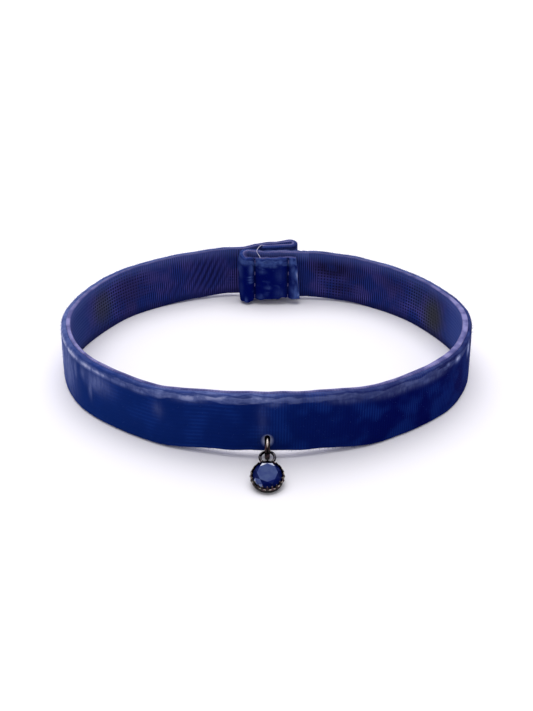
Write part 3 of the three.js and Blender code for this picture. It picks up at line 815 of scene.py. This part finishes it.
# Gunmetal plate: a nearly black nickel over brass, polished, with brown worn spots. A painted
# highlight lightens it high on the ring's front, and along the upward faces of the cup and loop.
gunmetal, add = new_material("gunmetal_plated_brass")
place = add("TexCoord", out="Object")
wear, patchy, grain = (
    add("TexNoise", {"Vector": place, "Scale": 1000 / size, "Detail": detail, "Roughness": roughness})
    for size, detail, roughness in ((0.6, 3.0, 0.6), (1.0, 1.0, 0.5), (0.12, 2.0, 0.5)))
worn_part = add("MapRange", {
    "Value": wear, "From Min": 0.42, "From Max": 0.68}, interpolation_type="SMOOTHSTEP")
normal = add("NewGeometry", out="Normal")
frontward = add("VectorMath", (normal, (0.0, -0.6, 0.8)), operation="DOT_PRODUCT")
upward, height = (add("SeparateXYZ", (vector,), out="Z") for vector in (normal, place))
painted_highlight, is_high, painted_top_highlight, is_low, patchy = (
    add("MapRange", {"Value": measure, "From Min": start, "From Max": end})
    for measure, start, end in (
        (frontward, 0.92, 0.985),
        (height, 0.0028, 0.0031),
        (upward, 0.8, 0.95),
        (height, 0.0024, 0.0021),
        (patchy, 0.34, 0.5)))
# The painted highlight: faces turned up and forward high on the ring, and faces turned up low on the cup and
# loop, broken up by noise.
painted_highlight = add("Math", (painted_highlight, is_high), operation="MULTIPLY")
painted_top_highlight = add("Math", (painted_top_highlight, is_low), operation="MULTIPLY")
painted_highlight = add("Math", (painted_highlight, painted_top_highlight), operation="MAXIMUM")
painted_highlight = add("Math", (painted_highlight, patchy), operation="MULTIPLY")
colour = linear("#09070A")
for part, layer in ((worn_part, "#543840"), (painted_highlight, "#DCD0C8")):
    colour = add("Mix", (part, colour, linear(layer)), data_type="RGBA")
scratches = add("Bump", {"Height": grain, "Distance": 0.000008, "Strength": 0.5})
gloss = add("MapRange", {"Value": painted_highlight, "To Min": 0.16, "To Max": 0.45})
shader = add("BsdfPrincipled", {
    "Base Color": colour, "Metallic": 1.0, "Roughness": gloss, "Normal": scratches,
    "Specular Tint": linear("#8A6E68"), "Coat Weight": 0.3, "Coat Roughness": 0.1})
add("OutputMaterial", {"Surface": shader})

jump_ring = mesh_object("split_jump_ring", *swept_ring(
    ring_centre, (ring_outer - ring_wire) / 2, ring_wire / 2, steps=72, sides=20, gap=0.03))
jump_ring.data.materials.append(gunmetal)
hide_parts("jump_ring")
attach(jump_ring, "root")

# ---- Charm setting ----
# A stamped brass cup, gunmetal plated, with its rim cut into points that are pressed in
# over the stone, and an oval loop of thin wire soldered to its side.

charm_tilt = math.radians(20)
setting_radius = 2.36
base_radius = 2.22
setting_depth = 1.0
setting_wall = 0.3
loop_width = 2.5
loop_length = 3.2
loop_wire = 0.42
loop_height = 0.25
loop_bend = math.radians(22)
wire_gap = 0.08

loop_foot_y = setting_radius - 0.3 + loop_wire / 2
loop_span = loop_length - loop_wire
far_y = loop_foot_y + loop_span * math.cos(loop_bend)
far_z = loop_height - loop_span * math.sin(loop_bend)
back_centre_z = base_radius * math.sin(charm_tilt)
far_rise = back_centre_z + far_y * math.sin(charm_tilt) + far_z * math.cos(charm_tilt) - ring_centre.z
far_reach = (ring_outer - ring_wire) / 2 - (ring_wire + loop_wire) / 2 - wire_gap
far_place = ring_centre.y - math.sqrt(far_reach ** 2 - far_rise ** 2)
charm_y = far_place - far_y * math.cos(charm_tilt) + far_z * math.sin(charm_tilt)
charm_origin = Vector((ring_x, charm_y, back_centre_z))


def on_charm(point):
    """A point in the charm's own frame, placed and tilted as the charm lies."""
    x, y, z = point
    lean, rise = math.cos(charm_tilt), math.sin(charm_tilt)
    return charm_origin + Vector((x, y * lean - z * rise, y * rise + z * lean))


def lathe(profile, steps):
    """Points and faces of a closed turned form; its profile starts and ends on the axis."""
    turned_points = [Vector((0, 0, profile[0][1])), Vector((0, 0, profile[-1][1]))]
    inner = profile[1:-1]
    for step in range(steps):
        around = 2 * math.pi * step / steps
        for reach, rise in inner:
            turned_points.append(Vector((reach * math.cos(around), reach * math.sin(around), rise)))
    turned_faces = []
    for step in range(steps):
        near, far = 2 + step * len(inner), 2 + (step + 1) % steps * len(inner)
        turned_faces.append((0, far, near))
        for side in range(len(inner) - 1):
            turned_faces.append((near + side, far + side, far + side + 1, near + side + 1))
        turned_faces.append((1, near + len(inner) - 1, far + len(inner) - 1))
    return turned_points, turned_faces


wall_radius = setting_radius - 0.02
cup_points, cup_faces = lathe([
    (0, 0),
    (base_radius - 0.12, 0),
    (base_radius - 0.04, 0.03),
    (base_radius, 0.1),
    (base_radius + 0.01, 0.4),
    (wall_radius, 0.7),
    (wall_radius, setting_depth - 0.12),
    (wall_radius - 0.05, setting_depth - 0.04),
    (wall_radius - 0.12, setting_depth - 0.05),
    (wall_radius - 0.14, setting_depth - 0.2),
    (1.75, setting_wall),
    (0, setting_wall),
], steps=96)
loop_points, loop_faces = swept_ring(
    Vector((0, 0, 0)), (loop_width - loop_wire) / 2, loop_wire / 2, steps=48, sides=14,
    stretch=(loop_length - loop_width) / 2,
    turned=lambda point: Vector((point.z, point.y + loop_span / 2, -point.x)))
bent_down = Matrix.Rotation(-loop_bend, 3, "X")
loop_points = [bent_down @ point + Vector((0, loop_foot_y, loop_height)) for point in loop_points]
solder_points, solder_faces = lathe(
    [(0, -0.2), (0.2, -0.19), (0.34, -0.1), (0.38, 0.0), (0.34, 0.1), (0.2, 0.19), (0, 0.2)], steps=24)
solder_y = base_radius + 0.04
solder_points = [Vector((x * 1.3, y * 0.6 + solder_y, z + loop_height)) for x, y, z in solder_points]

setting_points, setting_faces = [], []
for part_points, part_faces in (
        (cup_points, cup_faces), (loop_points, loop_faces), (solder_points, solder_faces)):
    first = len(setting_points)
    setting_points += [on_charm(point) for point in part_points]
    setting_faces += [tuple(first + corner for corner in face) for face in part_faces]
cup = mesh_object("charm_cup_and_loop", setting_points, setting_faces)
cup.data.materials.append(gunmetal)
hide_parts("charm_setting")
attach(cup, "root")

# The crown's points are cones flattened against the rim, leaning in over the stone.
point_sizes = {
    "Point count": 20, "Rim radius": (wall_radius - 0.05) / 1000, "Point length": 0.82 / 1000,
    "Point radius": 0.23 / 1000, "Lean": math.radians(15)}
group, add, size_of = node_group("crown_points", point_sizes)
rim = add("GeometryNodeMeshCircle", {"Vertices": size_of["Point count"], "Radius": size_of["Rim radius"]})
claw = add("GeometryNodeMeshCone", {
    "Vertices": 12, "Side Segments": 5, "Radius Top": 0.08 / 1000, "Radius Bottom": size_of["Point radius"],
    "Depth": size_of["Point length"]})
rounded_claw = add("GeometryNodeSetShadeSmooth", {"Geometry": claw})
rim_place = add("GeometryNodeInputPosition")
facing_out = add("FunctionNodeAlignRotationToVector", {"Vector": rim_place}, axis="X")
inward = add("Math", (size_of["Lean"], -1.0), operation="MULTIPLY")
lean_in = add("CombineXYZ", {"Y": inward})
leaning = add("FunctionNodeRotateRotation", {
    "Rotation": facing_out, "Rotate By": lean_in}, rotation_space="LOCAL")
claws = add("GeometryNodeInstanceOnPoints", {
    "Points": rim, "Instance": rounded_claw, "Rotation": leaning, "Scale": (0.6, 1.0, 1.0)})
anchor = mesh_object("rim_anchor", [-to_part], [])
crown_points = grown("charm_crown_points", anchor, group, point_sizes, claws, gunmetal)
bpy.data.objects.remove(anchor)
claw_base = Vector((0, 0, setting_depth - 0.3))
for vertex in crown_points.data.vertices:
    vertex.co = (on_charm(Vector(vertex.co) * 1000 + claw_base) + to_part) / 1000
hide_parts("charm_setting")
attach(crown_points, "root")

# ---- Charm stone ----
# A round foil-backed glass stone, deep sapphire blue, moulded with an eight-sided table
# and polished facets. The cup's points hold it.

stone_radius = 2.0
stone_table = 1.42
stone_crown = 0.72
girdle_height = setting_depth
stone_rings = [  # radius, height, count, phase
    (stone_table, stone_crown, 8, 0.0),
    (1.78, stone_crown * 0.6, 8, -0.5),
    (stone_radius, 0.04, 16, -1.0),
    (stone_radius, -0.04, 16, -1.0),
    (stone_radius * 0.5, -0.6, 8, -0.5),
]
stone_points = []
for radius, height, count, phase in stone_rings:
    for step in range(count):
        around = 2 * math.pi * (step + phase) / count
        x, y = radius * math.cos(around), radius * math.sin(around)
        stone_points.append(on_charm((x, y, girdle_height + height)))

# How bright each facet is drawn round the stone: the foil's tone, with painted reflections on
# the table and painted glints on the brightest star, kite and girdle facets. Points 0 to 7 are
# the table, 8 to 15 the kites, 16 to 31 and 32 to 47 the girdle's two edges, and 48 to 55 the back.
star_tones = (0.03, 0.05, 0.95, 1.0, 0.07, 0.03, 0.01, 0.04)
main_tones = (0.01, 0.0, 0.01, 0.0, 0.02, 0.36, 0.0, 0.01)
girdle_tones = (0.0, 0.01, 0.0, 0.02, 0.01, 0.85, 0.02, 0.0)
back_tone = 0.05
stone_faces, tones = [tuple(range(8))], [0.27]
for step in range(8):
    table, kite, next_kite = step, 8 + step, 8 + (step + 1) % 8
    girdle, mid_girdle, next_girdle = 16 + 2 * step, 17 + 2 * step, 16 + (2 * step + 2) % 16
    stone_faces.append((table, (step - 1) % 8, kite))
    stone_faces.append((table, kite, mid_girdle, next_kite))
    stone_faces.append((kite, girdle, mid_girdle))
    stone_faces.append((next_kite, mid_girdle, next_girdle))
    tones += [star_tones[step], main_tones[step], girdle_tones[step], girdle_tones[step]]
    for first, second in ((girdle, mid_girdle), (mid_girdle, next_girdle)):
        stone_faces.append((first, first + 16, second + 16, second))
    stone_faces.append((girdle + 16, 48 + step, mid_girdle + 16))
    stone_faces.append((mid_girdle + 16, 48 + step, 48 + (step + 1) % 8, next_girdle + 16))
    tones += [back_tone] * 4
stone_faces.append(tuple(range(55, 47, -1)))
tones.append(back_tone)
stone = mesh_object("sapphire_glass_stone", stone_points, stone_faces, smooth=False)
tone_layer = stone.data.attributes.new("tone", "FLOAT", "FACE")
tone_layer.data.foreach_set("value", np.array(tones, dtype=np.float32))
turning = bmesh.new()
turning.from_mesh(stone.data)
bmesh.ops.recalc_face_normals(turning, faces=turning.faces)
turning.to_mesh(stone.data)
turning.free()

# Foil-backed glass: the foil gives each facet its own tone of blue under a glassy surface,
# with painted reflections and near-white painted glints on the brightest facets.
sapphire, add = new_material("foil_backed_sapphire_glass")
place = add("TexCoord", out="Object")
tone = add("Attribute", out="Fac", attribute_name="tone")
painted_glint = add("MapRange", {"Value": tone, "From Min": 0.8, "From Max": 1.0})
cloud = add("TexNoise", {"Vector": place, "Scale": 1000 / 1.1, "Detail": 2.0})
cloud_part = add("MapRange", {"Value": cloud, "From Min": 0.4, "From Max": 0.75, "To Max": 0.5})
colour = linear("#00083E")
for part, layer in ((tone, "#7C92D0"), (painted_glint, "#E8ECFA"), (cloud_part, "#081668")):
    colour = add("Mix", (part, colour, linear(layer)), data_type="RGBA")
shader = add("BsdfPrincipled", {
    "Base Color": colour, "Roughness": 0.08, "IOR": 1.52, "Specular IOR Level": 0.02})
add("OutputMaterial", {"Surface": shader})
stone.data.materials.append(sapphire)
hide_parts("charm_stone")
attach(stone, "root")

# ---- Closure pad ----
# A tab of nylon hook-and-loop tape, navy, glued between the two ends where they overlap.
# Only its thin edge can be seen, from above.

pad_low, pad_high = (Vector(corner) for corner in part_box("closure_pad"))
shaping = bmesh.new()
bmesh.ops.create_cube(shaping, size=1.0)
for vertex in shaping.verts:
    vertex.co = Vector([
        low + (half + 0.5) * (high - low) for low, high, half in zip(pad_low, pad_high, vertex.co)])
rounding = 0.12 / 1000
bmesh.ops.bevel(shaping, geom=shaping.edges[:], offset=rounding, segments=3, profile=0.5, affect="EDGES")
pad_mesh = bpy.data.meshes.new("hook_and_loop_pad")
shaping.to_mesh(pad_mesh)
shaping.free()
pad = new_object("hook_and_loop_pad", pad_mesh)

# Hook-and-loop tape: matt nylon, nubbly with tiny loops 0.35 mm apart.
tape, add = new_material("nylon_hook_and_loop_tape")
place = add("TexCoord", out="Object")
loops = add("TexVoronoi", {"Vector": place, "Scale": 1000 / 0.35}, out="Distance")
nubs = add("Bump", {"Height": loops, "Distance": 0.00012, "Strength": 0.8})
colour = add("Mix", (loops, linear("#0C1240"), linear("#232C66")), data_type="RGBA")
shader = add("BsdfPrincipled", {"Base Color": colour, "Roughness": 0.85, "Normal": nubs})
add("OutputMaterial", {"Surface": shader})
pad.data.materials.append(tape)
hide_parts("closure_pad")
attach(pad, "root")

# ---- Seams and thread end ----
# Two rows of machine stitches in polyester thread hold the flap down, one near the fold
# and one near the cut end. A loose thread end is left standing at the hem.

# Polyester sewing thread: a violet navy that shows as lilac dashes in the sunk seams. Its
# twist is drawn as fine lumps.
thread, add = new_material("polyester_sewing_thread")
place = add("TexCoord", out="Object")
strands = add("TexNoise", {"Vector": place, "Scale": 1000 / 0.12, "Detail": 2.0})
twist = add("Bump", {"Height": strands, "Distance": 0.00003, "Strength": 0.7})
shader = add("BsdfPrincipled", {
    "Base Color": linear("#56508E"), "Roughness": 0.6, "Normal": twist,
    "Sheen Weight": 0.2, "Sheen Tint": linear("#D8CCE8")})
add("OutputMaterial", {"Surface": shader})

# The loose end of the same thread is untwisted and frayed, so it shows nearly white.
pale_thread, add = new_material("frayed_polyester_thread")
place = add("TexCoord", out="Object")
strands = add("TexNoise", {"Vector": place, "Scale": 1000 / 0.3, "Detail": 2.0})
colour = add("Mix", (strands, linear("#8E8CB8"), linear("#F0ECF8")), data_type="RGBA")
shader = add("BsdfPrincipled", {
    "Base Color": colour, "Roughness": 0.6, "Sheen Weight": 0.3, "Sheen Tint": linear("#F0ECF8")})
add("OutputMaterial", {"Surface": shader})

# Each seam is a line down the flap, just proud of its furrow, with stitches set along it.
stitch_y = flap_y + seam_inset - pressed_thickness / 2 + 0.1
seam_ends = []
for seam_x in (left_seam_x, right_seam_x):
    seam_ends += [(seam_x, stitch_y, 1.7), (seam_x + 0.1, stitch_y, gathered_width + 0.5)]
seam_lines = mesh_object("seam_lines", seam_ends, [], edges=[(0, 1), (2, 3)])
stitch_sizes = {
    "Stitch pitch": stitch_pitch / 1000, "Stitch length": 0.85 / 1000, "Thread width": 0.15 / 1000}
group, add, size_of = node_group("stitch_row", stitch_sizes)
seam_line = add("GeometryNodeMeshToCurve", {"Mesh": size_of["Geometry"]})
spaced = add("GeometryNodeResampleCurve", {
    "Curve": seam_line, "Length": size_of["Stitch pitch"]}, mode="LENGTH")
tangent = add("GeometryNodeInputTangent")
along_seam = add("FunctionNodeAlignRotationToVector", {"Vector": tangent}, axis="Z")
stitch_scale = add("CombineXYZ", {
    "X": size_of["Thread width"], "Y": size_of["Thread width"], "Z": size_of["Stitch length"]})
stitch = add("GeometryNodeMeshUVSphere", {"Segments": 10, "Rings": 8, "Radius": 0.5})
round_stitch = add("GeometryNodeSetShadeSmooth", {"Geometry": stitch})
stitches = add("GeometryNodeInstanceOnPoints", {
    "Points": spaced, "Instance": round_stitch, "Rotation": along_seam, "Scale": stitch_scale})
seam_stitches = grown("flap_seam_stitches", seam_lines, group, stitch_sizes, stitches, thread)
bpy.data.objects.remove(seam_lines)

# The thread end comes out of the hem, stands up and bends over the folds to the flap.
end_path = [
    (-0.5, hem_y, 10.4),
    (-0.85, hem_y, 10.78),
    (-1.35, pad_y, 10.95),
    (-1.75, inner_ply_y, 10.85),
    (-1.85, inner_ply_y - 0.55, 10.6),
    (-1.62, inner_ply_y - 0.78, 10.2),
    (-1.32, flap_y + 0.35, 9.95),
    (-1.2, flap_y - 0.1, 9.75),
]
end_edges = [(step, step + 1) for step in range(len(end_path) - 1)]
end_line = mesh_object("thread_end_line", end_path, [], edges=end_edges)
end_sizes = {"Thread width": 0.11 / 1000}
group, add, size_of = node_group("thread_path", end_sizes)
end_curve = add("GeometryNodeMeshToCurve", {"Mesh": size_of["Geometry"]})
curved = add("GeometryNodeCurveSplineType", {"Curve": end_curve}, spline_type="CATMULL_ROM")
half_width = add("Math", (size_of["Thread width"], 0.5), operation="MULTIPLY")
section = add("GeometryNodeCurvePrimitiveCircle", {"Resolution": 8, "Radius": half_width})
tube = add("GeometryNodeCurveToMesh", {"Curve": curved, "Profile Curve": section, "Fill Caps": True})
thread_end = grown("loose_thread_end", end_line, group, end_sizes, tube, pale_thread)
bpy.data.objects.remove(end_line)
for piece in (seam_stitches, thread_end):
    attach(piece, "root")

# ---- Floor, light and camera ----
# White paper that runs level under the bracelet and curves up far behind it, a wide softbox
# and a small lamp overhead, and a pale room that is darker at the front.

floor_half_width = 1.4
bend_start, bend_radius = 0.5, 0.3
sweep = [(-0.8, 0.0), (bend_start, 0.0)]
for degrees in range(10, 91, 10):
    bend = math.radians(degrees)
    sweep.append((bend_start + bend_radius * math.sin(bend), bend_radius - bend_radius * math.cos(bend)))
sweep.append((bend_start + bend_radius, 1.3))
floor_points = [(side * floor_half_width, y, z) for y, z in sweep for side in (-1, 1)]
floor_faces = [(row, row + 1, row + 3, row + 2) for row in range(0, len(floor_points) - 2, 2)]
floor_mesh = bpy.data.meshes.new("floor")
floor_mesh.from_pydata(floor_points, [], floor_faces)
floor_mesh.polygons.foreach_set("use_smooth", [True] * len(floor_faces))
floor = new_object("floor", floor_mesh)

# Paper: matt and nearly white, with no gloss.
paper, add = new_material("white_paper_sweep")
shader = add("BsdfPrincipled", {"Base Color": linear("#F3F1F7"), "Roughness": 1.0, "Specular IOR Level": 0.0})
add("OutputMaterial", {"Surface": shader})
floor.data.materials.append(paper)

world = bpy.data.worlds.new("studio")
bpy.context.scene.world = world
world.use_nodes = True
world.node_tree.nodes.clear()
add = partial(add_node, world.node_tree)
direction = add("TexCoord", out="Generated")
upward = add("SeparateXYZ", (direction,), out="Z")
backward = upward.node.outputs["Y"]
height_part = add("MapRange", {"Value": upward, "From Min": 0.0, "From Max": 0.8})
brightness = add("MapRange", {
    "Value": backward, "From Min": -0.9, "From Max": 0.3, "To Min": 0.62, "To Max": 0.79})
sky = add("Mix", (height_part, linear("#B4B4C0"), linear("#FFFFFF")), data_type="RGBA")
background = add("Background", {"Color": sky, "Strength": brightness})
add("OutputWorld", {"Surface": background})

lamps = (  # name, place, size, watts
    ("overhead_softbox", (-0.06, 0.26, 1.2), 1.2, 10.6),
    ("small_front_lamp", (-0.02, -0.08, 1.1), 0.11, 0.9),
)
for name, place, size, watts in lamps:
    lamp_data = bpy.data.lights.new(name, "AREA")
    lamp_data.size = size
    lamp_data.energy = watts
    lamp = new_object(name, lamp_data)
    lamp.location = place
    lamp.rotation_euler = (-Vector(place)).to_track_quat("-Z", "Y").to_euler()

camera_pitch = math.radians(31)
camera_distance = 131.0
aim = Vector((0.03, 0, ribbon_width / 2 - 3.95))
camera_data = bpy.data.cameras.new("camera")
camera_data.sensor_fit = "VERTICAL"
camera_data.sensor_height = 36
camera_data.lens = 38.07595
camera_data.clip_start = 0.005
camera = new_object("camera", camera_data)
back_off = Vector((0, -math.cos(camera_pitch), math.sin(camera_pitch))) * camera_distance
camera.location = (aim + back_off + to_part) / 1000
camera.rotation_euler = (math.pi / 2 - camera_pitch, 0, 0)
bpy.context.scene.camera = camera
bpy.context.scene.view_settings.view_transform = "Standard"
